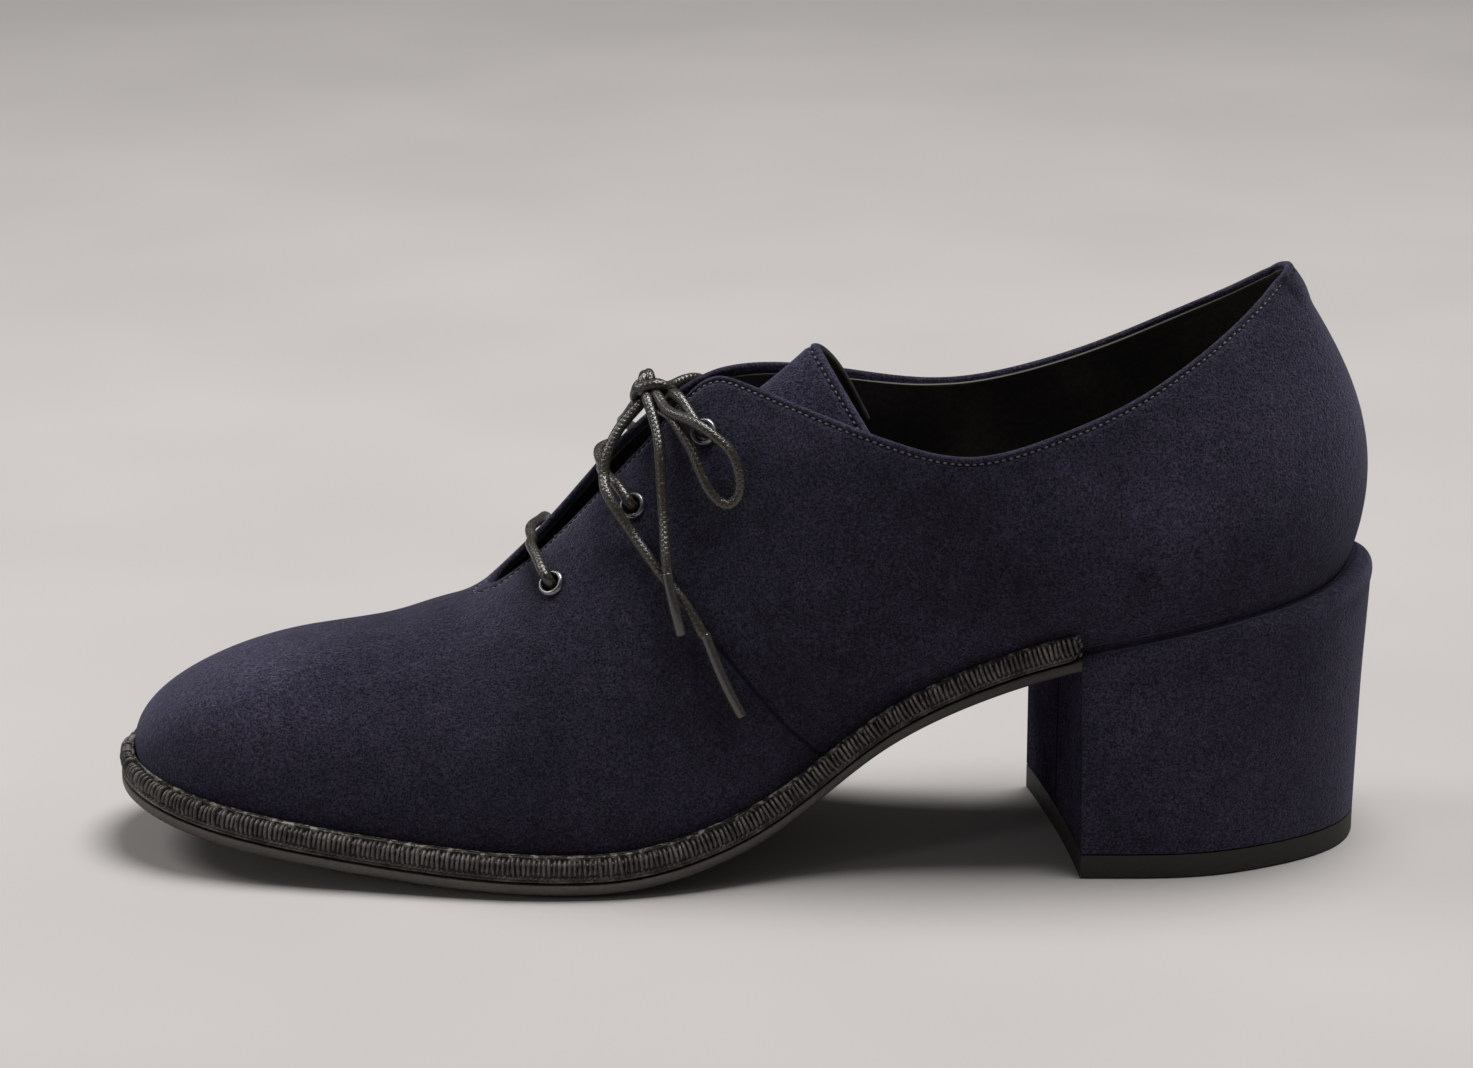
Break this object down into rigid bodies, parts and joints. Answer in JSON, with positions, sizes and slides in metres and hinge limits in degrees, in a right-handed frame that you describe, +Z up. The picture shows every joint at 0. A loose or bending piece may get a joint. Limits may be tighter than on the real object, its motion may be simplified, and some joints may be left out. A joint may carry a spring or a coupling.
{
  "type": "shoe",
  "caption": "Left lace-up oxford shoe in dark suede with a ribbed storm welt, a thin sole and a suede-covered block heel",
  "frame": {"origin": "on the ground under the middle of the shoe's box", "axes": "+X from the heel to the toe, +Y to the outer side of the foot, +Z up"},
  "size_m": [0.254, 0.0796, 0.1183],
  "materials": {
    "suede": "matt napped suede",
    "lining_leather": "smooth lining leather",
    "sole_leather": "satin",
    "welt_leather": "satin, ribbed",
    "rubber": "matt",
    "gunmetal": "satin gunmetal",
    "waxed_lace": "satin waxed cotton"
  },
  "bodies": {
    "root": {"upper": "suede", "tongue": "suede", "heel_block": "suede", "insole": "lining_leather", "outsole": "sole_leather", "welt": "welt_leather", "top_piece": "rubber", "eyelet_outer_1": "gunmetal", "eyelet_outer_2": "gunmetal", "eyelet_outer_3": "gunmetal", "eyelet_inner_1": "gunmetal", "eyelet_inner_2": "gunmetal", "eyelet_inner_3": "gunmetal", "lace_bar_1": "waxed_lace", "lace_bar_2": "waxed_lace", "lace_bar_3": "waxed_lace", "lace_knot": "waxed_lace", "lace_loop_near": "waxed_lace", "lace_loop_far": "waxed_lace", "lace_end_near": "waxed_lace", "lace_end_far": "waxed_lace", "aglet_near": "waxed_lace", "aglet_far": "waxed_lace"}
  },
  "joints": []
}
